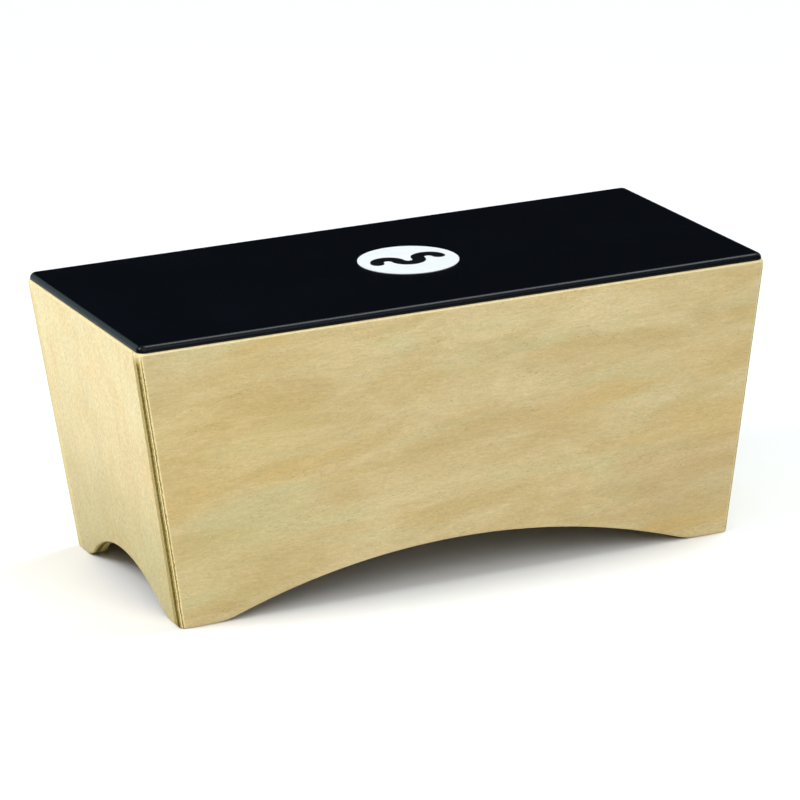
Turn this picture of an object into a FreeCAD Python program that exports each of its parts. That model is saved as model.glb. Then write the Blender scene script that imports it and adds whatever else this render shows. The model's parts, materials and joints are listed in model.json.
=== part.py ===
"""A lap-size box drum with two chambers.

Four leaning plywood walls carry a thin striking plate. A divider, battens and glue blocks stiffen the inside.
The origin lies on the floor under the middle of the box: +X along the length, +Y to the rear, +Z up.
"""

import FreeCAD, Part
import math
import os
import re

import Sketcher
from FreeCAD import Vector

DIMENSIONS = {
    # The box, measured outside.
    "BodyLength": 400.0,
    "BodyWidth": 180.0,
    "PanelHeight": 169.2,
    "EndInset": 22.2,  # how far each end leans in from its top to the floor
    "SideInset": 6.8,  # how far the front and the rear lean in
    "PanelThickness": 9.5,
    # Rounded edges of the walls.
    "CornerRadius": 4.0,
    "RimRadius": 2.0,
    "EdgeSoftening": 1.2,
    # Arched lower edges: rise over the floor, half of the span, and the round that leads into the foot.
    "SideArchRise": 27.0,
    "SideArchHalfSpan": 150.0,
    "SideFootRadius": 45.0,
    "EndArchRise": 24.0,
    "EndArchHalfSpan": 60.0,
    "EndFootRadius": 22.0,
    # Striking plate.
    "PlateThickness": 4.0,
    "PlateMargin": 1.0,  # how far the plate stays back from the outside of the walls
    "PlateCornerRadius": 4.5,
    "PlateEdgeRadius": 3.6,
    # Badge on the plate.
    "BadgeDiameter": 60.5,
    "BadgeThickness": 0.3,
    "BadgeOffset": 8.0,
    "MarkThickness": 0.15,
    "MarkBendRadius": 6.6,
    "MarkStroke": 8.0,
    # Divider, and the blocks glued into the inner corners.
    "DividerOffset": 28.0,
    "DividerThickness": 9.0,
    "DividerLift": 34.0,
    "CleatDepth": 12.0,
    "CleatWidth": 12.0,
    "BattenHeight": 12.0,
    "BattenWidth": 12.0,
    "BlockLeg": 20.0,
    "BlockLift": 32.0,
    # How far the stock of a wall reaches past its outline, and the cut past the stock.
    "CutAllowance": 6.0,
}

# A leaning wall is thicker along the floor than across its own faces.
SIDE_RUN = "PanelThickness / cos(atan(SideInset / PanelHeight))"
END_RUN = "PanelThickness / cos(atan(EndInset / PanelHeight))"
# Half of the inner space at the height of the plate's underside.
INNER_HALF_WIDTH = f"(BodyWidth / 2 - {SIDE_RUN})"
INNER_HALF_LENGTH = f"(BodyLength / 2 - {END_RUN})"
BATTEN_UNDERSIDE = "(PanelHeight - BattenHeight)"
PLATE_TOP = "(PanelHeight + PlateThickness)"

TOLERANCE = 1e-4
SMALLEST_CUT = 1.0  # cubic millimetres
HALF_TURN = 180.0  # degrees

doc = FreeCAD.newDocument("LapBoxDrum")
sheet = doc.addObject("Spreadsheet::Sheet", "Dimensions")
for row, (alias, size) in enumerate(DIMENSIONS.items(), start=1):
    sheet.set(f"A{row}", alias)
    sheet.set(f"B{row}", str(size))
    sheet.setAlias(f"B{row}", alias)
doc.recompute()

subparts = []


def formula(text):
    """The text with every dimension's name pointing at the sheet; functions start with a small letter."""
    return re.sub(r"[A-Z]\w+", r"Dimensions.\g<0>", text)


def value(text):
    """The number that a formula gives now."""
    result = sheet.evalExpression(formula(text))
    return float(getattr(result, "Value", result))


def bind(target, path, text):
    target.setExpression(path, formula(text))


def subpart(target, label):
    target.Label = label
    subparts.append(target)
    return target


def place(target, x="0", y="0", z="0", turned=False):
    """Puts a sub-part at three formulas, turned half way round the vertical axis if asked."""
    if turned:
        target.Placement = FreeCAD.Placement(Vector(), FreeCAD.Rotation(Vector(0, 0, 1), HALF_TURN))
    for axis, text in (("x", x), ("y", y), ("z", z)):
        bind(target, f"Placement.Base.{axis}", text)


# ---------------------------------------------------------------------------------------------- sketches


def new_sketch(body, name, role):
    plane = next(feature for feature in body.Origin.OriginFeatures if feature.Role == role)
    sketch = body.newObject("Sketcher::SketchObject", name)
    sketch.AttachmentSupport = (plane, [""])
    sketch.MapMode = "FlatFace"
    return sketch


def constrain(sketch, text, *constraint):
    """Adds one dimension to the sketch and ties it to a formula."""
    index = sketch.addConstraint(Sketcher.Constraint(*constraint, value(text)))
    bind(sketch, f"Constraints[{index}]", text)


def pin(sketch, geometry, point, across, up):
    """Holds a point of the sketch at two formulas, measured from the sketch's origin."""
    constrain(sketch, across, "DistanceX", -1, 1, geometry, point)
    constrain(sketch, up, "DistanceY", -1, 1, geometry, point)


def polygon(sketch, corners):
    """Draws a closed outline through corners given as pairs of formulas."""
    first = sketch.GeometryCount
    places = [Vector(value(across), value(up), 0) for across, up in corners]
    for place_now, place_next in zip(places, places[1:] + places[:1]):
        sketch.addGeometry(Part.LineSegment(place_now, place_next), False)
    for step, corner in enumerate(corners):
        following = first + (step + 1) % len(corners)
        sketch.addConstraint(Sketcher.Constraint("Coincident", first + step, 2, following, 1))
        pin(sketch, first + step, 1, *corner)


def arc(centre, radius, start, end):
    return Part.ArcOfCircle(Part.Circle(centre, Vector(0, 0, 1), radius), start, end)


def arched_outline(sketch, top_half, floor_half, rise, half_span, foot_radius):
    """Draws a wall's face: a trapezoid whose lower edge rises in one arc between two rounded feet."""
    arch_radius = f"({half_span} * {half_span} + {rise} * {rise}) / (2 * {rise})"
    top, floor = value(top_half), value(floor_half)
    height, radius, foot = value("PanelHeight"), value(arch_radius), value(foot_radius)
    centre_up = value(rise) - radius
    foot_across = math.sqrt((radius + foot) ** 2 - (foot - centre_up) ** 2)
    lean = math.atan2(foot_across, foot - centre_up)
    upright = math.pi / 2
    outline = [
        Part.LineSegment(Vector(-top, height, 0), Vector(top, height, 0)),
        Part.LineSegment(Vector(top, height, 0), Vector(floor, 0, 0)),
        Part.LineSegment(Vector(floor, 0, 0), Vector(foot_across, 0, 0)),
        arc(Vector(foot_across, foot, 0), foot, -upright - lean, -upright),
        arc(Vector(0, centre_up, 0), radius, upright - lean, upright + lean),
        arc(Vector(-foot_across, foot, 0), foot, -upright, lean - upright),
        Part.LineSegment(Vector(-foot_across, 0, 0), Vector(-floor, 0, 0)),
        Part.LineSegment(Vector(-floor, 0, 0), Vector(-top, height, 0)),
    ]
    first = sketch.GeometryCount
    sketch.addGeometry(outline, False)
    upper, right, right_floor, right_foot, arch, left_foot, left_floor, left = range(first, first + 8)
    # Corners of the trapezoid.
    for before, after in ((upper, right), (right, right_floor), (left_floor, left), (left, upper)):
        sketch.addConstraint(Sketcher.Constraint("Coincident", before, 2, after, 1))
    pin(sketch, upper, 1, f"-{top_half}", "PanelHeight")
    pin(sketch, right, 1, top_half, "PanelHeight")
    pin(sketch, right_floor, 1, floor_half, "0")
    pin(sketch, left, 1, f"-{floor_half}", "0")
    # The arch meets the feet, and the feet meet the floor, without a kink.
    sketch.addConstraint(Sketcher.Constraint("Horizontal", right_floor))
    sketch.addConstraint(Sketcher.Constraint("Horizontal", left_floor))
    sketch.addConstraint(Sketcher.Constraint("Tangent", right_floor, 2, right_foot, 2))
    sketch.addConstraint(Sketcher.Constraint("Tangent", right_foot, 1, arch, 1))
    sketch.addConstraint(Sketcher.Constraint("Tangent", arch, 2, left_foot, 2))
    sketch.addConstraint(Sketcher.Constraint("Tangent", left_foot, 1, left_floor, 1))
    constrain(sketch, foot_radius, "Radius", right_foot)
    constrain(sketch, foot_radius, "Radius", left_foot)
    constrain(sketch, arch_radius, "Radius", arch)
    pin(sketch, arch, 3, "0", f"{rise} - {arch_radius}")


# ---------------------------------------------------------------------------------------------- features


def pad(body, sketch, length, symmetric=False):
    feature = body.newObject("PartDesign::Pad", "Pad")
    feature.Profile = sketch
    feature.SideType = "Symmetric" if symmetric else "One side"
    bind(feature, "Length", length)
    doc.recompute()
    return feature


def cut_through(body, sketch, length):
    """Pockets the sketch both ways from its plane, and makes sure that it took material away."""
    before = body.Shape.Volume
    feature = body.newObject("PartDesign::Pocket", "Pocket")
    feature.Profile = sketch
    feature.SideType = "Symmetric"
    bind(feature, "Length", length)
    doc.recompute()
    if feature.Shape.Volume > before - SMALLEST_CUT:
        raise RuntimeError(f"{body.Label}: the cut takes nothing away")
    return feature


def middle(edge):
    return edge.valueAt((edge.FirstParameter + edge.LastParameter) / 2)


def round_edges(body, radius, wanted):
    """Fillets the edges of the body's last feature whose middle points pass the test."""
    base = body.Tip
    names = [f"Edge{i}" for i, edge in enumerate(base.Shape.Edges, start=1) if wanted(middle(edge))]
    if not names:
        raise RuntimeError(f"{body.Label}: no edge to round")
    feature = body.newObject("PartDesign::Fillet", "Fillet")
    feature.Base = (base, names)
    bind(feature, "Radius", radius)
    doc.recompute()
    return feature


def near(first, second):
    return abs(first - second) < TOLERANCE


def leaning(top, inset, height):
    """Distance of a leaning face from the middle of the box at a height."""
    return top - inset * (1 - height / value("PanelHeight"))


# ------------------------------------------------------------------------------------------------- walls


def wall_stock(body, plane, half, inset, run, length):
    """A leaning board on the negative side of the plane's first axis, longer and higher than its outline."""
    rise = f"{inset} / PanelHeight * CutAllowance"
    low = f"(-{half} + {inset} + {rise})"
    high = f"(-{half} - {rise})"
    sketch = new_sketch(body, "Section", plane)
    corners = [
        (low, "-CutAllowance"),
        (f"{low} + {run}", "-CutAllowance"),
        (f"{high} + {run}", "PanelHeight + CutAllowance"),
        (high, "PanelHeight + CutAllowance"),
    ]
    polygon(sketch, corners)
    pad(body, sketch, f"{length} + 2 * CutAllowance", symmetric=True)


def trim_to_outline(body, plane, half, inset, arch, depth):
    """Cuts away everything round the arched outline."""
    sketch = new_sketch(body, "Outline", plane)
    edge = f"({half} + 2 * CutAllowance)"
    lower = "-2 * CutAllowance"
    upper = "PanelHeight + 2 * CutAllowance"
    polygon(sketch, [(f"-{edge}", lower), (edge, lower), (edge, upper), (f"-{edge}", upper)])
    arched_outline(sketch, half, f"({half} - {inset})", *arch)
    cut_through(body, sketch, depth)


def side_panel(label, turned):
    """A long wall. It covers the edges of both end walls, so its own ends show the layers of the plywood."""
    body = subpart(doc.addObject("PartDesign::Body", "SidePanel"), label)
    wall_stock(body, "YZ_Plane", "BodyWidth / 2", "SideInset", SIDE_RUN, "BodyLength")
    arch = ("SideArchRise", "SideArchHalfSpan", "SideFootRadius")
    trim_to_outline(body, "XZ_Plane", "BodyLength / 2", "EndInset", arch, "BodyWidth + 2 * CutAllowance")

    length, width, height = value("BodyLength"), value("BodyWidth"), value("PanelHeight")
    run, corner, arch_rise = value(SIDE_RUN), value("CornerRadius"), value("SideArchRise")

    def outer(point):
        return near(-point.y, leaning(width / 2, value("SideInset"), point.z))

    def inner(point):
        return near(-point.y, leaning(width / 2, value("SideInset"), point.z) - run)

    def reach(point):
        return leaning(length / 2, value("EndInset"), point.z) - abs(point.x)

    def corner_edge(point):
        return near(reach(point), 0) and outer(point)

    def rim(point):
        return near(point.z, height) and not inner(point)

    def low(point):
        return point.z < arch_rise + TOLERANCE and reach(point) > corner

    # The outer lower edge runs on round the corners and along the end of each foot.
    round_edges(body, "CornerRadius", corner_edge)
    round_edges(body, "RimRadius", rim)
    round_edges(body, "EdgeSoftening", lambda point: outer(point) and low(point))
    round_edges(body, "EdgeSoftening", lambda point: inner(point) and low(point))
    place(body, turned=turned)


def end_panel(label, turned):
    """A short wall, which stands between the two long ones."""
    body = subpart(doc.addObject("PartDesign::Body", "EndPanel"), label)
    wall_stock(body, "XZ_Plane", "BodyLength / 2", "EndInset", END_RUN, f"2 * {INNER_HALF_WIDTH}")
    arch = ("EndArchRise", "EndArchHalfSpan", "EndFootRadius")
    depth = "BodyLength + 2 * CutAllowance"
    trim_to_outline(body, "YZ_Plane", INNER_HALF_WIDTH, "SideInset", arch, depth)

    length, height = value("BodyLength"), value("PanelHeight")
    inner_half, arch_rise = value(INNER_HALF_WIDTH), value("EndArchRise")

    def outer(point):
        return near(-point.x, leaning(length / 2, value("EndInset"), point.z))

    def inner(point):
        return near(-point.x, leaning(length / 2, value("EndInset"), point.z) - value(END_RUN))

    def between_sides(point):
        return leaning(inner_half, value("SideInset"), point.z) - abs(point.y) > TOLERANCE

    def rim(point):
        return near(point.z, height) and outer(point)

    def lower_edge(point):
        return (outer(point) or inner(point)) and point.z < arch_rise + TOLERANCE and between_sides(point)

    round_edges(body, "RimRadius", rim)
    round_edges(body, "EdgeSoftening", lower_edge)
    place(body, turned=turned)


# ------------------------------------------------------------------------------------ plate and its badge


def striking_plate():
    """A thin stiff sheet on the rim of the box, a little smaller than the box all round."""
    body = subpart(doc.addObject("PartDesign::Body", "Plate"), "striking_plate")
    across, deep = "(BodyLength / 2 - PlateMargin)", "(BodyWidth / 2 - PlateMargin)"
    sketch = new_sketch(body, "Outline", "XY_Plane")
    corners = [(f"-{across}", f"-{deep}"), (across, f"-{deep}"), (across, deep), (f"-{across}", deep)]
    polygon(sketch, corners)
    pad(body, sketch, "PlateThickness")
    thickness = value("PlateThickness")
    round_edges(body, "PlateCornerRadius", lambda point: near(point.z, thickness / 2))
    round_edges(body, "PlateEdgeRadius", lambda point: near(point.z, thickness))
    place(body, z="PanelHeight")


def badge_disc():
    """A plain round foil on the plate."""
    disc = subpart(doc.addObject("Part::Cylinder", "BadgeDisc"), "badge_disc")
    bind(disc, "Radius", "BadgeDiameter / 2")
    bind(disc, "Height", "BadgeThickness")
    place(disc, x="BadgeOffset", z=PLATE_TOP)


def wave_end(join, border):
    """Which end of an arc lies on a border: above the line it starts at its right, below at its left."""
    first, last, above = join
    at_right = border == max(first, last)
    return 1 if at_right == above else 2


def badge_mark():
    """A wave of three half rings with round ends: arcs whose centres and ends lie on one line."""
    body = subpart(doc.addObject("PartDesign::Body", "BadgeMark"), "badge_mark")
    sketch = new_sketch(body, "Wave", "XY_Plane")
    # Where the two borders of the stroke cross the line, from left to right.
    turns = (-3, -1, 1, 3)
    borders = [f"({turn} * MarkBendRadius {side} MarkStroke / 2)" for turn in turns for side in "-+"]
    # The borders in the order in which arcs join them, round the wave; the first arc lies above the line.
    path = [0, 3, 4, 7, 6, 5, 2, 1]
    above_line = [True, False, True, False, True, False, True, False]
    joins = list(zip(path, path[1:] + path[:1], above_line))
    for first, last, above in joins:
        start, end = value(borders[first]), value(borders[last])
        half_turn = (0, math.pi) if above else (math.pi, 2 * math.pi)
        sketch.addGeometry(arc(Vector((start + end) / 2, 0, 0), abs(end - start) / 2, *half_turn), False)
    for index, (_, last, _) in enumerate(joins):
        following = (index + 1) % len(joins)
        joint = (index, wave_end(joins[index], last), following, wave_end(joins[following], last))
        sketch.addConstraint(Sketcher.Constraint("Coincident", *joint))
        pin(sketch, joint[0], joint[1], borders[last], "0")
        sketch.addConstraint(Sketcher.Constraint("PointOnObject", index, 3, -1))
    pad(body, sketch, "MarkThickness")
    place(body, x="BadgeOffset", z=f"{PLATE_TOP} + BadgeThickness")


# ------------------------------------------------------------------------------------- inside of the box


def inner_space():
    """The room between the four walls, from the floor to the plate, as a frustum for trimming blocks."""
    room = doc.addObject("Part::Wedge", "InnerSpace")
    limits = {
        "Xmin": f"-{INNER_HALF_LENGTH} + EndInset",
        "Xmax": f"{INNER_HALF_LENGTH} - EndInset",
        "Zmin": f"-{INNER_HALF_WIDTH} + SideInset",
        "Zmax": f"{INNER_HALF_WIDTH} - SideInset",
        "X2min": f"-{INNER_HALF_LENGTH}",
        "X2max": INNER_HALF_LENGTH,
        "Z2min": f"-{INNER_HALF_WIDTH}",
        "Z2max": INNER_HALF_WIDTH,
        "Ymin": "0",
        "Ymax": "PanelHeight",
    }
    for name, text in limits.items():
        bind(room, name, text)
    # A wedge narrows along Y, so it is stood up.
    room.Placement = FreeCAD.Placement(Vector(), FreeCAD.Rotation(Vector(1, 0, 0), 90))
    return room


def trimmed_block(label, room, x_range, y_range, z_range):
    """A square block, cut to the room between the walls."""
    stock = doc.addObject("Part::Box", "Stock")
    for axis, size, (low, high) in zip("xyz", ("Length", "Width", "Height"), (x_range, y_range, z_range)):
        bind(stock, size, f"({high}) - ({low})")
        bind(stock, f"Placement.Base.{axis}", low)
    block = subpart(doc.addObject("Part::Common", "Block"), label)
    block.Base = stock
    block.Tool = room


def battens(room):
    """Square strips under the plate along all four walls, which widen the rim that it is glued to."""
    heights = (BATTEN_UNDERSIDE, "PanelHeight")
    chambers = {
        "low": ("-BodyLength / 2", "DividerOffset - DividerThickness / 2"),
        "high": ("DividerOffset + DividerThickness / 2", "BodyLength / 2"),
    }
    sides = {
        "front": ("-BodyWidth / 2", f"BattenWidth - {INNER_HALF_WIDTH}"),
        "rear": (f"{INNER_HALF_WIDTH} - BattenWidth", "BodyWidth / 2"),
    }
    ends = {
        "left": ("-BodyLength / 2", f"BattenWidth - {INNER_HALF_LENGTH}"),
        "right": (f"{INNER_HALF_LENGTH} - BattenWidth", "BodyLength / 2"),
    }
    for side, y_range in sides.items():
        for chamber, x_range in chambers.items():
            trimmed_block(f"plate_batten_{side}_{chamber}", room, x_range, y_range, heights)
    between = (f"BattenWidth - {INNER_HALF_WIDTH}", f"{INNER_HALF_WIDTH} - BattenWidth")
    for end, x_range in ends.items():
        trimmed_block(f"plate_batten_{end}", room, x_range, between, heights)


def chamber_divider():
    """The board between the low and the high chamber. Its lower edge stays above the arches."""
    body = subpart(doc.addObject("PartDesign::Body", "Divider"), "chamber_divider")
    foot = f"({INNER_HALF_WIDTH} - SideInset * (1 - DividerLift / PanelHeight))"
    sketch = new_sketch(body, "Face", "YZ_Plane")
    corners = [
        (f"-{foot}", "DividerLift"),
        (foot, "DividerLift"),
        (INNER_HALF_WIDTH, "PanelHeight"),
        (f"-{INNER_HALF_WIDTH}", "PanelHeight"),
    ]
    polygon(sketch, corners)
    pad(body, sketch, "DividerThickness", symmetric=True)
    place(body, x="DividerOffset")


def divider_cleat(label, turned):
    """An upright strip in the corner of the divider and a long wall, on the low chamber's side."""
    body = subpart(doc.addObject("PartDesign::Body", "Cleat"), label)
    sign = "" if turned else "-"
    low = f"({INNER_HALF_WIDTH} - SideInset * (1 - DividerLift / PanelHeight))"
    high = f"({INNER_HALF_WIDTH} - SideInset * BattenHeight / PanelHeight)"
    sketch = new_sketch(body, "Section", "YZ_Plane")
    corners = [
        (f"{sign}{low}", "DividerLift"),
        (f"{sign}({low} - CleatDepth)", "DividerLift"),
        (f"{sign}({high} - CleatDepth)", BATTEN_UNDERSIDE),
        (f"{sign}{high}", BATTEN_UNDERSIDE),
    ]
    polygon(sketch, corners)
    pad(body, sketch, "CleatWidth")
    place(body, x="DividerOffset - DividerThickness / 2 - CleatWidth")


def corner_block(label, x_sign, y_sign):
    """A three-cornered block in an upright inner corner, which follows the lean of both walls."""
    body = subpart(doc.addObject("PartDesign::Body", "CornerBlock"), label)
    across = f"({INNER_HALF_LENGTH} - EndInset * (1 - BlockLift / PanelHeight))"
    deep = f"({INNER_HALF_WIDTH} - SideInset * (1 - BlockLift / PanelHeight))"
    sketch = new_sketch(body, "Triangle", "XY_Plane")
    corners = [
        (f"{x_sign} * {across}", f"{y_sign} * {deep}"),
        (f"{x_sign} * ({across} - BlockLeg)", f"{y_sign} * {deep}"),
        (f"{x_sign} * {across}", f"{y_sign} * ({deep} - BlockLeg)"),
    ]
    polygon(sketch, corners)
    feature = pad(body, sketch, f"{BATTEN_UNDERSIDE} - BlockLift")
    feature.UseCustomVector = True
    feature.AlongSketchNormal = True
    feature.Direction = Vector(0, 0, 1)
    bind(feature, "Direction.x", f"{x_sign} * EndInset / PanelHeight")
    bind(feature, "Direction.y", f"{y_sign} * SideInset / PanelHeight")
    place(body, z="BlockLift")


# -------------------------------------------------------------------------------------- build and export


def build():
    side_panel("front_panel", turned=False)
    side_panel("rear_panel", turned=True)
    end_panel("left_end_panel", turned=False)
    end_panel("right_end_panel", turned=True)
    striking_plate()
    badge_disc()
    badge_mark()
    chamber_divider()
    divider_cleat("divider_cleat_front", turned=False)
    divider_cleat("divider_cleat_rear", turned=True)
    battens(inner_space())
    for y_sign, side in ((-1, "front"), (1, "rear")):
        for x_sign, end in ((-1, "left"), (1, "right")):
            corner_block(f"corner_block_{side}_{end}", x_sign, y_sign)
    doc.recompute()


def check():
    for item in doc.Objects:
        if {"Invalid", "Error"} & set(item.State):
            raise RuntimeError(f"{item.Label} failed: {item.State}")
    for item in subparts:
        if item.Shape.isNull() or not item.Shape.isValid() or len(item.Shape.Solids) != 1:
            raise RuntimeError(f"{item.Label} has no single valid solid")


def export():
    os.makedirs("parts", exist_ok=True)
    for item in subparts:
        item.Shape.exportStep(os.path.join("parts", f"{item.Label}.step"))
        box = item.Shape.BoundBox
        corners = (box.XMin, box.XMax, box.YMin, box.YMax, box.ZMin, box.ZMax)
        print(f"{item.Label:26s}", *(f"{corner:8.2f}" for corner in corners), f"{item.Shape.Volume:10.0f}")


build()
check()
export()
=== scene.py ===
"""Looks of the lap-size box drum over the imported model, with a studio and a camera."""

import json
import math
from collections import namedtuple

import bpy
from mathutils import Matrix, Vector


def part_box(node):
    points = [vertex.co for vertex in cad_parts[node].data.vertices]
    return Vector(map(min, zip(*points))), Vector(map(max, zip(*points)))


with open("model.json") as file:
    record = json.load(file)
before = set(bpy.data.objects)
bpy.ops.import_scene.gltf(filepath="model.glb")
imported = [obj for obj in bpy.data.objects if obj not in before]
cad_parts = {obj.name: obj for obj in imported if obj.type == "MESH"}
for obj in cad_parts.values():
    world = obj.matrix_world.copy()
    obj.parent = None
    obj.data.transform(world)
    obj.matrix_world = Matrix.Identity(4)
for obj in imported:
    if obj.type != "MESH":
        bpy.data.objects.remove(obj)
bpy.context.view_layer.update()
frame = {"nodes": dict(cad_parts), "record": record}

MM = 0.001
X_AXIS, Y_AXIS = Vector((1, 0, 0)), Vector((0, 1, 0))


# ------------------------------------------------------------------------------------------ camera

YAW = math.radians(24.44)
PITCH = math.radians(17.55)
ROLL = math.radians(-1.35)
LENS_MM = 198.3
CAMERA_DISTANCE = 2.659
AIM_RIGHT = -0.0015
AIM_UP = 0.0834
CLIP_NEAR, CLIP_FAR = 0.1, 30.0


def add_camera():
    """Looks at the box from the front left and a little above, through a long lens."""
    level = math.cos(PITCH)
    forward = Vector((math.sin(YAW) * level, math.cos(YAW) * level, -math.sin(PITCH)))
    level_right = Vector((math.cos(YAW), -math.sin(YAW), 0.0))
    level_up = level_right.cross(forward)
    right = level_right * math.cos(ROLL) + level_up * math.sin(ROLL)
    up = level_up * math.cos(ROLL) - level_right * math.sin(ROLL)
    data = bpy.data.cameras.new("Camera")
    data.lens = LENS_MM
    data.clip_start, data.clip_end = CLIP_NEAR, CLIP_FAR
    camera = bpy.data.objects.new("Camera", data)
    turn = Matrix((right, up, -forward)).transposed().to_4x4()
    place = -forward * CAMERA_DISTANCE + right * AIM_RIGHT + up * AIM_UP
    camera.matrix_world = Matrix.Translation(place) @ turn
    bpy.context.scene.collection.objects.link(camera)
    bpy.context.scene.camera = camera


# ------------------------------------------------------------------------------------------ studio

WHITE = (1.0, 1.0, 1.0)
# Soft suns: direction towards the light, strength, spread in degrees, colour.
# The two "Edge" suns draw the rounded borders of the plate.
SUNS = {
    "Key": ((-0.72, -0.50, 0.72), 0.45, 46, WHITE),
    "Front": ((0.0, -0.80, 0.60), 1.22, 50, WHITE),
    "Top": ((0.0, 0.0, 1.0), 0.90, 70, WHITE),
    "Right": ((0.85, 0.15, 0.50), 0.40, 40, WHITE),
    "FrontEdge": ((0.394, 0.05, 0.918), 1.50, 25, (0.84, 0.95, 1.0)),
    "LeftEdge": ((-0.40, 0.868, 0.250), 0.38, 40, (0.70, 0.97, 0.98)),
}
# A square lamp near the box, which is brighter on what lies closer to it.
SOFTBOX_PLACE, SOFTBOX_AIM = (-0.75, 0.05, 0.72), (-0.19, 0.0, 0.12)
SOFTBOX_SIDE = 0.35
SOFTBOX_POWER = 4.5
WORLD_COLOUR = (0.93, 0.96, 1.0, 1.0)
WORLD_STRENGTH = 0.01
FLOOR_HALF = 14.0
FLOOR_COLOUR = (0.90, 0.90, 0.90, 1.0)
FLOOR_ROUGHNESS = 0.9


def add_light(name, kind, towards, strength):
    """Links a lamp that shines against the given direction, and returns it."""
    data = bpy.data.lights.new(name, kind)
    data.energy = strength
    light = bpy.data.objects.new(name, data)
    light.rotation_mode = "QUATERNION"
    light.rotation_quaternion = Vector(towards).to_track_quat("Z", "Y")
    bpy.context.scene.collection.objects.link(light)
    return light


def add_studio():
    for name, (direction, strength, spread, colour) in SUNS.items():
        sun = add_light(name, "SUN", direction, strength)
        sun.data.angle = math.radians(spread)
        sun.data.color = colour
    away = Vector(SOFTBOX_PLACE) - Vector(SOFTBOX_AIM)
    softbox = add_light("Left", "AREA", away, SOFTBOX_POWER)
    softbox.location = SOFTBOX_PLACE
    softbox.data.shape = "SQUARE"
    softbox.data.size = SOFTBOX_SIDE
    world = bpy.data.worlds.new("Studio")
    world.use_nodes = True
    background = world.node_tree.nodes["Background"]
    background.inputs["Color"].default_value = WORLD_COLOUR
    background.inputs["Strength"].default_value = WORLD_STRENGTH
    bpy.context.scene.world = world
    bpy.context.scene.view_settings.view_transform = "Standard"


def add_floor():
    mesh = bpy.data.meshes.new("Floor")
    signs = ((-1, -1), (1, -1), (1, 1), (-1, 1))
    corners = [(x * FLOOR_HALF, y * FLOOR_HALF, 0) for x, y in signs]
    mesh.from_pydata(corners, [], [(0, 1, 2, 3)])
    floor = bpy.data.objects.new("Floor", mesh)
    bpy.context.scene.collection.objects.link(floor)
    graph = Graph("StudioFloor")
    graph.surface(FLOOR_COLOUR, FLOOR_ROUGHNESS, specular=0.0)
    mesh.materials.append(graph.material)


# ------------------------------------------------------------------------------------- node helper

# The part of a noise's range that holds most of its values, narrower and wider.
SPAN = (0.3, 0.7)
WIDE_SPAN = (0.25, 0.75)
NOISE_MIDDLE = 0.5


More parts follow.
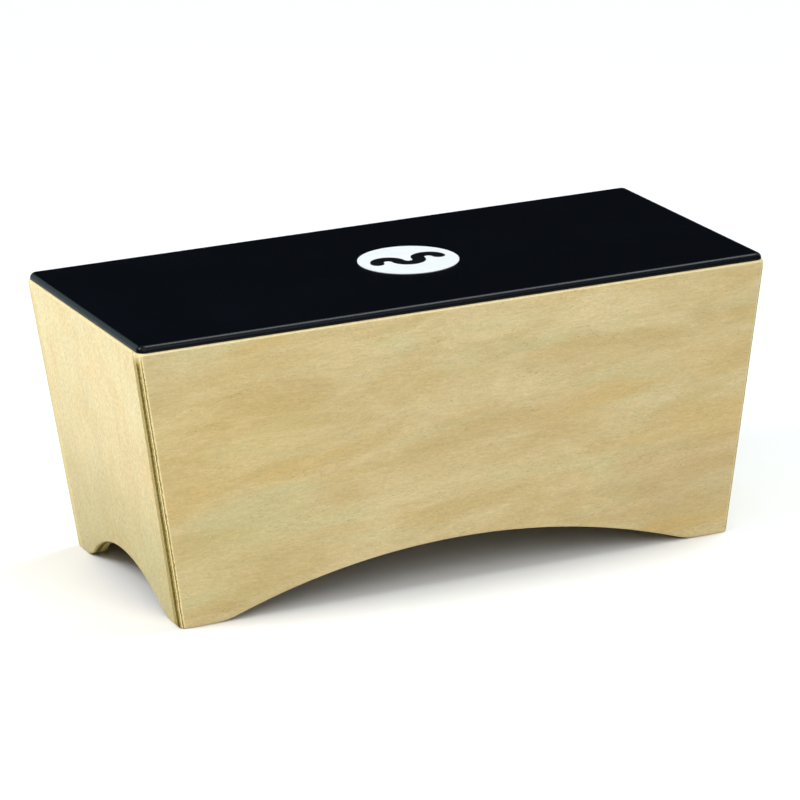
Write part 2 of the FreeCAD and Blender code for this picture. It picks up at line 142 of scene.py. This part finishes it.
class Graph:
    """Builds one material's nodes. Every helper returns an output socket."""

    def __init__(self, name):
        self.material = bpy.data.materials.new(name)
        self.material.use_nodes = True
        self.tree = self.material.node_tree
        self.shader = self.tree.nodes["Principled BSDF"]

    def node(self, kind, **settings):
        node = self.tree.nodes.new(kind)
        for name, setting in settings.items():
            setattr(node, name, setting)
        return node

    def feed(self, socket, source):
        """Links a socket, or sets it where the source is a plain value."""
        if isinstance(source, bpy.types.NodeSocket):
            self.tree.links.new(source, socket)
        elif source is not None:
            socket.default_value = source

    def feed_all(self, node, *sources):
        for socket, source in zip(node.inputs, sources):
            self.feed(socket, source)

    def math(self, operation, *values, clamp=False):
        node = self.node("ShaderNodeMath", operation=operation, use_clamp=clamp)
        self.feed_all(node, *values)
        return node.outputs[0]

    def times(self, first, second, clamp=False):
        return self.math("MULTIPLY", first, second, clamp=clamp)

    def plus(self, first, second):
        return self.math("ADD", first, second)

    def minus(self, first, second):
        return self.math("SUBTRACT", first, second)

    def join(self, x, y, z):
        node = self.node("ShaderNodeCombineXYZ")
        self.feed_all(node, x, y, z)
        return node.outputs[0]

    def split(self, source):
        node = self.node("ShaderNodeSeparateXYZ")
        self.feed(node.inputs[0], source)
        return node.outputs

    def noise(self, place, scale=1.0, detail=2.0, rough=0.5, distortion=0.0):
        """Smooth noise between 0 and 1, its middle at about a half."""
        node = self.node("ShaderNodeTexNoise")
        self.feed(node.inputs["Vector"], place)
        self.feed(node.inputs["Scale"], scale)
        self.feed(node.inputs["Detail"], detail)
        self.feed(node.inputs["Roughness"], rough)
        self.feed(node.inputs["Distortion"], distortion)
        return node.outputs["Fac"]

    def stretch(self, source, low, high, to_low=0.0, to_high=1.0, smooth=True):
        """Maps low..high to to_low..to_high and holds it there outside."""
        node = self.node("ShaderNodeMapRange")
        node.interpolation_type = "SMOOTHSTEP" if smooth else "LINEAR"
        names = ("From Min", "From Max", "To Min", "To Max")
        for name, value in zip(names, (low, high, to_low, to_high)):
            self.feed(node.inputs[name], value)
        self.feed(node.inputs["Value"], source)
        return node.outputs["Result"]

    def band(self, source, start, end, blur):
        """1 between start and end, 0 elsewhere, with soft borders."""
        rise = self.stretch(source, start - blur, start + blur)
        fall = self.stretch(source, end - blur, end + blur, 1.0, 0.0)
        return self.times(rise, fall)

    def mix(self, amount, first, second, blend="MIX"):
        node = self.node("ShaderNodeMix", data_type="RGBA", blend_type=blend)
        self.feed(node.inputs["Factor"], amount)
        for name, source in (("A", first), ("B", second)):
            socket = next(s for s in node.inputs if s.name == name and s.type == "RGBA")
            self.feed(socket, (*source, 1.0) if isinstance(source, tuple) else source)
        return next(s for s in node.outputs if s.type == "RGBA")

    def toned(self, colour, tone):
        """A colour made darker or lighter by a factor."""
        return self.mix(1.0, colour, self.join(tone, tone, tone), "MULTIPLY")

    def bump(self, height, distance_mm, strength):
        node = self.node("ShaderNodeBump")
        self.feed(node.inputs["Strength"], strength)
        self.feed(node.inputs["Distance"], distance_mm * MM)
        self.feed(node.inputs["Height"], height)
        return node.outputs["Normal"]

    def place(self):
        """Where a point is on the resting object, in millimetres."""
        node = self.node("ShaderNodeVectorMath", operation="SCALE")
        self.feed(node.inputs[0], self.node("ShaderNodeTexCoord").outputs["Object"])
        node.inputs["Scale"].default_value = 1 / MM
        return node.outputs["Vector"]

    def surface(self, colour, roughness, specular, normal=None):
        inputs = self.shader.inputs
        self.feed(inputs["Base Color"], colour)
        self.feed(inputs["Roughness"], roughness)
        self.feed(inputs["Normal"], normal)
        inputs["Specular IOR Level"].default_value = specular


# ------------------------------------------------------------------------------- boards of the box

# How closely a facet has to point along a direction to count as facing it, and as flat.
FACING = 0.98
FLAT = 0.99999


def board_axes(node, outward, level):
    """The board's own frame: a point on its outer face, and unit vectors along, up and into it."""
    mesh = frame["nodes"][node].data
    facing = [p for p in mesh.polygons if p.normal.dot(outward) > FACING]
    normal = sum((p.normal * p.area for p in facing), Vector()).normalized()
    flat = [p for p in facing if p.normal.dot(normal) > FLAT]
    largest = max(flat, key=lambda p: p.area)
    normal = largest.normal.normalized()
    along = level - normal * level.dot(normal)
    along.normalize()
    up = normal.cross(along)
    if up.z < 0:
        up = -up
    return largest.center.copy(), along, up, -normal


def thickness_of(node, origin, inward):
    vertices = frame["nodes"][node].data.vertices
    return max((v.co - origin).dot(inward) for v in vertices) / MM


def board_place(graph, origin, axes):
    """Coordinates in millimetres: along the board, up its slope, and depth under its outer face."""
    offset = graph.node("ShaderNodeVectorMath", operation="SUBTRACT")
    graph.feed_all(offset, graph.node("ShaderNodeTexCoord").outputs["Object"], tuple(origin))
    parts = []
    for axis in axes:
        product = graph.node("ShaderNodeVectorMath", operation="DOT_PRODUCT")
        graph.feed_all(product, offset.outputs["Vector"], tuple(axis / MM))
        parts.append(product.outputs["Value"])
    return parts


# The veneer's patterns: length and width, lean as a share of the look's slant, shift through the
# noise, then the noise's detail, roughness and distortion. Lengths and widths are shares of a size
# of the look, or millimetres for the drift and the pore density.
Pattern = namedtuple("Pattern", "long wide lean shift detail rough distortion")
BROAD_PATCH = Pattern(1.0, 1.0, 1.0, 1.7, 4.0, 0.6, 0.5)
WARM_PATCH = Pattern(1.6, 1.5, 1.0, 5.1, 2.0, 0.5, 0.4)
GREEN_PATCH = Pattern(1.3, 1.0, 1.0, 9.4, 3.0, 0.5, 0.6)
DRIFT = Pattern(18, 3.0, 0.5, 13.0, 3.0, 0.6, 0.9)
FIBRE = Pattern(1.0, 1.0, 0.0, 21.0, 3.0, 0.6, 0.8)
SPECKLE = Pattern(1.0, 1.0, 0.0, 27.0, 2.0, 0.65, 0.0)
PORE_DASH = Pattern(0.5, 0.7, 0.0, 34.0, 1.0, 0.5, 0.5)
PORE_DENSITY = Pattern(26, 11, 1.0, 41.0, 2.0, 0.5, 0.0)
ONE_MM = (1.0, 1.0)
# Where the patches of each tone start and are full, and how much of the tone they then hold.
TAN_SPAN = (0.32, 0.68)
WARM_SPAN, WARM_AMOUNT = (0.5, 0.74), 0.75
GREEN_SPAN, GREEN_AMOUNT = (0.5, 0.72), 0.7
PORE_LIMITS = (0.74, 0.60)
PORE_CONTRAST = 9.0
FIBRE_RELIEF, PORE_RELIEF = 0.5, 0.5


def veneer(graph, grain, across, seed, look):
    """The sliced face: soft patches that slant across the grain, wavy fibres and a fine speckle.

    Returns its colour and its height for the bump."""

    def cloud(pattern, size=ONE_MM):
        leaning = graph.minus(across, graph.times(grain, pattern.lean * look["slant"]))
        spot = graph.join(
            graph.times(grain, 1 / (pattern.long * size[0])),
            graph.times(leaning, 1 / (pattern.wide * size[1])),
            seed + pattern.shift,
        )
        return graph.noise(spot, 1.0, pattern.detail, pattern.rough, pattern.distortion)

    pale, tan, warm, green = look["tones"]
    patch, fibre = look["patch"], look["fibre"]
    colour = graph.mix(graph.stretch(cloud(BROAD_PATCH, patch), *TAN_SPAN), pale, tan)
    warmth = graph.stretch(cloud(WARM_PATCH, patch), *WARM_SPAN, 0.0, WARM_AMOUNT)
    colour = graph.mix(warmth, colour, warm)
    greenness = graph.stretch(cloud(GREEN_PATCH, patch), *GREEN_SPAN, 0.0, GREEN_AMOUNT)
    colour = graph.mix(greenness, colour, green)
    # Pores are short dashes, denser in some places than in others.
    limit = graph.stretch(cloud(PORE_DENSITY), *SPAN, *PORE_LIMITS)
    pores = graph.times(graph.minus(cloud(PORE_DASH, fibre), limit), PORE_CONTRAST, clamp=True)
    tone = graph.minus(1.0, graph.times(pores, look["pore_depth"]))
    # Drifts of the growth rings, fibres and speckle each swing the tone.
    drift, fibres, speckle = cloud(DRIFT), cloud(FIBRE, fibre), cloud(SPECKLE, look["speckle"])
    depths = (look["drift_depth"], look["fibre_depth"], look["speckle_depth"])
    for pattern, depth in zip((drift, fibres, speckle), depths):
        swing = graph.stretch(pattern, *WIDE_SPAN, 1.0 - depth, 1.0 + depth, smooth=False)
        tone = graph.times(tone, swing)
    height = graph.minus(graph.times(fibres, FIBRE_RELIEF), graph.times(pores, PORE_RELIEF))
    return graph.toned(colour, tone), height


# Layers under the outer face of a board, in millimetres: start, end, how dark.
LAYERS = (
    (0.52, 0.98, 0.80),
    (1.40, 2.15, 0.72),
    (2.15, 5.20, 1.00),
    (5.20, 9.00, 0.55),
    (6.40, 6.90, 0.85),
    (7.90, 8.30, 0.85),
    (9.25, 9.90, 0.85),
)
LAYER_BLUR = 0.13
PLY_LIGHT, PLY_OLIVE, PLY_DARK = (0.80, 0.67, 0.37), (0.46, 0.36, 0.115), (0.10, 0.060, 0.004)
OLIVE_SHADE = 0.55
# How the layers stray from their depth, slowly and quickly: noise per millimetre, shift through
# the noise, its detail and roughness, and the reach in millimetres.
WANDER = (0.06, 0.0, 2.0, 0.5, 0.5)
SHAKE = (0.55, 3.0, 3.0, 0.7, 0.7)
# The saw's marks: noise per millimetre on the edge and into it, its detail and roughness, the
# tones and shades it gives, and its height.
SAW_SCALE, SAW_DEPTH_SCALE = 0.7, 2.2
SAW_DETAIL, SAW_ROUGH = 4.0, 0.75
SAW_TONES, SAW_SHADES = (0.86, 1.1), (1.25, 0.72)
SAW_RELIEF = 0.6
RIM_FADE_START, RIM_FADE_END = 161.0, 168.5
RIM_SHADE = 0.2


def layered_edge(graph, along, up, depth, seed, strength):
    """The sawn edge of the plywood: light and dark layers that wander a little."""

    def strayed(scale, shift, detail, rough, reach):
        spot = graph.join(graph.times(along, scale), graph.times(up, scale), seed + shift)
        swing = graph.minus(graph.noise(spot, 1.0, detail, rough), NOISE_MIDDLE)
        return graph.times(swing, reach)

    place = graph.plus(depth, graph.plus(strayed(*WANDER), strayed(*SHAKE)))
    stripes = [
        graph.times(graph.band(place, start, end, LAYER_BLUR), dark) for start, end, dark in LAYERS
    ]
    shade = stripes[0]
    for stripe in stripes[1:]:
        shade = graph.math("MAXIMUM", shade, stripe)
    saw_spot = graph.join(
        graph.times(along, SAW_SCALE),
        graph.times(up, SAW_SCALE),
        graph.times(depth, SAW_DEPTH_SCALE),
    )
    speckle = graph.noise(saw_spot, 1.0, SAW_DETAIL, SAW_ROUGH)
    shade = graph.times(shade, graph.stretch(speckle, *SPAN, *SAW_SHADES), clamp=True)
    # The layers fade pale towards the rim.
    over_floor = graph.split(graph.place())[2]
    rim_strength = RIM_SHADE * strength
    fade = graph.stretch(over_floor, RIM_FADE_START, RIM_FADE_END, strength, rim_strength)
    shade = graph.times(shade, fade)
    colour = graph.mix(graph.stretch(shade, 0.0, OLIVE_SHADE), PLY_LIGHT, PLY_OLIVE)
    colour = graph.mix(graph.stretch(shade, OLIVE_SHADE, 1.0), colour, PLY_DARK)
    colour = graph.toned(colour, graph.stretch(speckle, *SPAN, *SAW_TONES))
    return colour, graph.minus(graph.times(speckle, SAW_RELIEF), shade)


# Looks of the walls. Patch, fibre and speckle are lengths and widths in millimetres, the tones are
# pale, tan, warm and green, and "layers" says how strongly the cut layers show.
LOOK_SIDE = {
    "tones": (
        (0.655, 0.527, 0.281),
        (0.570, 0.432, 0.199),
        (0.608, 0.432, 0.170),
        (0.589, 0.522, 0.276),
    ),
    "slant": 0.07,
    "patch": (74, 21),
    "fibre": (4.2, 0.85),
    "fibre_depth": 0.11,
    "drift_depth": 0.06,
    "speckle": (1.5, 0.9),
    "speckle_depth": 0.07,
    "pore_depth": 0.26,
    "layers": 1.0,
}
LOOK_REAR = LOOK_SIDE | {"layers": 0.3}
# Broad tints in a veneer: middle and half size along x and z in millimetres, strength and tint.
# The warm and tan ones are the veneer's own colour; the light band along the top is painted light,
# and the darker ones low down are painted shade, the lower right one with a rosy tint as well.
LOOK_FRONT = LOOK_SIDE | {
    "tints_and_painted_light": (
        ((-150.0, 112.0), (80.0, 44.0), 0.9, (0.99, 0.95, 0.84)),
        ((-60.0, 78.0), (70.0, 22.0), 0.7, (0.95, 0.93, 0.90)),
        ((40.0, 92.0), (90.0, 24.0), 0.6, (0.96, 0.93, 0.92)),
        ((150.0, 40.0), (70.0, 34.0), 1.0, (0.93, 0.88, 0.86)),
        ((-150.0, 40.0), (70.0, 45.0), 0.9, (0.93, 0.95, 0.90)),
        ((30.0, 165.0), (260.0, 30.0), 0.9, (1.07, 1.08, 1.10)),
    ),
}
LOOK_END = {
    "tones": (
        (0.710, 0.584, 0.317),
        (0.665, 0.525, 0.272),
        (0.688, 0.520, 0.258),
        (0.655, 0.566, 0.325),
    ),
    "slant": 0.05,
    "patch": (42, 30),
    "fibre": (2.6, 0.9),
    "fibre_depth": 0.10,
    "drift_depth": 0.07,
    "speckle": (2.3, 1.9),
    "speckle_depth": 0.15,
    "pore_depth": 0.14,
    "layers": 1.0,
}
# The left end's two tints are painted: darker towards the bottom as painted shade, lighter towards
# the top as painted light.
LOOK_LEFT = LOOK_END | {
    "tints_and_painted_light": (
        ((-190.0, 5.0), (90.0, 85.0), 1.0, (0.84, 0.88, 0.84)),
        ((-200.0, 165.0), (90.0, 75.0), 1.0, (1.05, 1.07, 1.10)),
    ),
}
# Depth in millimetres at which the face veneer ends, and how soft that border is.
FACE_DEPTH = 0.22
FACE_BLUR = 0.04
PLY_BUMP_MM, PLY_BUMP = 0.05, 0.6
GLOSS_SCALE, GLOSS_DETAIL = 0.03, 3.0
FACE_ROUGHNESS = (0.46, 0.56)
CUT_ROUGHER = 0.15
PLY_SPECULAR = 0.12


def tint_and_paint_light(graph, face, tints_and_painted_light):
    """Tints a veneer with soft ovals: its own colour patches, and painted light and painted shade.
    """
    x, _, z = graph.split(graph.place())
    for (middle_x, middle_z), (half_x, half_z), amount, tint in tints_and_painted_light:
        aside = graph.times(graph.minus(x, middle_x), 1 / half_x)
        above = graph.times(graph.minus(z, middle_z), 1 / half_z)
        reach = graph.plus(graph.times(aside, aside), graph.times(above, above))
        face = graph.mix(graph.stretch(reach, 0.0, 1.0, amount, 0.0), face, tint, "MULTIPLY")
    return face


def plywood(node, outward, level, upright_grain, seed, look):
    """Lacquered plywood: veneer on both faces and bare layers wherever the board was cut."""
    graph = Graph(f"Plywood_{node}")
    origin, *axes = board_axes(node, outward, level)
    thickness = thickness_of(node, origin, axes[2])
    along, up, depth = board_place(graph, origin, axes)
    grain, across = (up, along) if upright_grain else (along, up)
    face, face_height = veneer(graph, grain, across, seed, look)
    # Broad ovals of tint, with painted light at the top and painted shade lower down, are laid on
    # the face.
    face = tint_and_paint_light(graph, face, look.get("tints_and_painted_light", ()))
    edge, edge_height = layered_edge(graph, along, up, depth, seed, look["layers"])
    cut = graph.band(depth, FACE_DEPTH, thickness - FACE_DEPTH, FACE_BLUR)
    face_relief = graph.times(face_height, graph.minus(1.0, cut))
    relief = graph.plus(face_relief, graph.times(edge_height, cut))
    spot = graph.join(graph.times(along, GLOSS_SCALE), graph.times(up, GLOSS_SCALE), seed)
    gloss = graph.noise(spot, 1.0, GLOSS_DETAIL)
    roughness = graph.stretch(gloss, *SPAN, *FACE_ROUGHNESS)
    roughness = graph.plus(roughness, graph.times(cut, CUT_ROUGHER))
    normal = graph.bump(relief, PLY_BUMP_MM, PLY_BUMP)
    graph.surface(graph.mix(cut, face, edge), roughness, PLY_SPECULAR, normal)
    return graph.material


# --------------------------------------------------------------------------------- other materials

COATS = {
    # Satin black with a fine orange-peel skin. Its gloss follows the slow cloud, not the skin.
    "PlateBlack": {
        "grain": 0.9,
        "cloud": (0.016, 3.0, 0.6),
        "span": WIDE_SPAN,
        "tones": ((0.0010, 0.0016, 0.0032), (0.0013, 0.0020, 0.0038)),
        "roughness": (0.262, 0.278),
        "gloss_by_cloud": True,
        "specular": 0.15,
        "relief_mm": 0.02,
    },
    "BadgeFoil": {
        "grain": 1.6,
        "cloud": (0.05, 2.0, 0.5),
        "span": SPAN,
        "tones": ((0.74, 0.77, 0.77), (0.78, 0.80, 0.80)),
        "roughness": (0.38, 0.48),
        "gloss_by_cloud": False,
        "specular": 0.4,
        "relief_mm": 0.01,
    },
    "BadgeInk": {
        "grain": 2.2,
        "cloud": (2.2, 3.0, 0.6),
        "span": SPAN,
        "tones": ((0.0025, 0.0032, 0.0045), (0.0035, 0.0044, 0.006)),
        "roughness": (0.28, 0.36),
        "gloss_by_cloud": False,
        "specular": 0.2,
        "relief_mm": 0.01,
    },
}
COAT_GRAIN_DETAIL, COAT_GRAIN_ROUGH = 3.0, 0.6
COAT_BUMP = 0.3


def coat(name):
    """A thin coat: its colour drifts with a cloud, and its skin is a fine grain."""
    look = COATS[name]
    graph = Graph(name)
    place = graph.place()
    grain = graph.noise(place, look["grain"], COAT_GRAIN_DETAIL, COAT_GRAIN_ROUGH)
    cloud = graph.noise(place, *look["cloud"])
    colour = graph.mix(graph.stretch(cloud, *look["span"]), *look["tones"])
    gloss = cloud if look["gloss_by_cloud"] else grain
    roughness = graph.stretch(gloss, *look["span"], *look["roughness"])
    normal = graph.bump(grain, look["relief_mm"], COAT_BUMP)
    graph.surface(colour, roughness, look["specular"], normal)
    return graph.material


STRIP_KINDS = ("plate_batten", "corner_block", "divider_cleat")
# Planed softwood by its grain's axis: which coordinates run along, beside and under the strip,
# and where it starts in the growth rings.
STRIP_WAYS = {
    "x": ((0, 1, 2), 0.4),
    "y": ((1, 0, 2), 2.1),
    "z": ((2, 0, 1), 4.4),
}
RING_DRIFT_SCALES = (0.006, 0.05, 0.05)
RING_DRIFT_DETAIL = 2.0
RING_DRIFT = 9.0
RINGS_PER_MM = 1.9
RING_SPAN = (-0.4, 1.0)
EARLY_WOOD, LATE_WOOD = (0.66, 0.49, 0.27), (0.50, 0.32, 0.14)
STRIP_FIBRE_SCALES = (0.06, 2.2, 2.2)
STRIP_FIBRE_DETAIL, STRIP_FIBRE_ROUGH = 3.0, 0.65
STRIP_TONES = (0.88, 1.08)
STRIP_ROUGHNESS = 0.72
STRIP_SPECULAR = 0.3
STRIP_BUMP_MM, STRIP_BUMP = 0.08, 0.6


def planed_wood(grain_axis):
    """Bare softwood strips: growth rings run along the strip, a little rough from the plane."""
    graph = Graph(f"Strip_{grain_axis}")
    order, seed = STRIP_WAYS[grain_axis]
    coordinates = graph.split(graph.place())
    ways = [coordinates[i] for i in order]

    def scaled_noise(scales, *settings):
        spot = graph.join(*(graph.times(way, scale) for way, scale in zip(ways, scales)))
        return graph.noise(spot, 1.0, *settings)

    drift = graph.times(scaled_noise(RING_DRIFT_SCALES, RING_DRIFT_DETAIL), RING_DRIFT)
    turns = graph.plus(graph.times(ways[2], RINGS_PER_MM), graph.plus(drift, seed))
    rings = graph.math("SINE", turns)
    fibres = scaled_noise(STRIP_FIBRE_SCALES, STRIP_FIBRE_DETAIL, STRIP_FIBRE_ROUGH)
    colour = graph.mix(graph.stretch(rings, *RING_SPAN), EARLY_WOOD, LATE_WOOD)
    colour = graph.toned(colour, graph.stretch(fibres, *WIDE_SPAN, *STRIP_TONES))
    normal = graph.bump(fibres, STRIP_BUMP_MM, STRIP_BUMP)
    graph.surface(colour, STRIP_ROUGHNESS, STRIP_SPECULAR, normal)
    return graph.material


# ------------------------------------------------------------------------------- looks on the nodes

# Boards: outward direction, level direction, whether the grain stands upright, seed, look.
BOARDS = {
    "front_panel": (-Y_AXIS, X_AXIS, False, 11.3, LOOK_FRONT),
    "rear_panel": (Y_AXIS, X_AXIS, False, 47.9, LOOK_REAR),
    "left_end_panel": (-X_AXIS, Y_AXIS, True, 83.1, LOOK_LEFT),
    "right_end_panel": (X_AXIS, Y_AXIS, True, 129.6, LOOK_END),
    "chamber_divider": (-X_AXIS, Y_AXIS, False, 151.2, LOOK_SIDE),
}
COATED = {"striking_plate": "PlateBlack", "badge_disc": "BadgeFoil", "badge_mark": "BadgeInk"}


def dress(node, material):
    """Puts a material on every slot of a CAD node."""
    target = frame["nodes"][node]
    for slot in target.material_slots:
        slot.material = material
    if not target.material_slots:
        target.data.materials.append(material)


def dress_all():
    for node, board in BOARDS.items():
        dress(node, plywood(node, *board))
    for node, name in COATED.items():
        dress(node, coat(name))
    strips = {axis: planed_wood(axis) for axis in STRIP_WAYS}
    names = [row["node"] for row in frame["record"]["subparts"]]
    for node in names:
        if node.startswith(STRIP_KINDS):
            low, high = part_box(node)
            sides = high - low
            longest = max(range(3), key=lambda i: sides[i])
            dress(node, strips["xyz"[longest]])


add_camera()
add_studio()
add_floor()
dress_all()
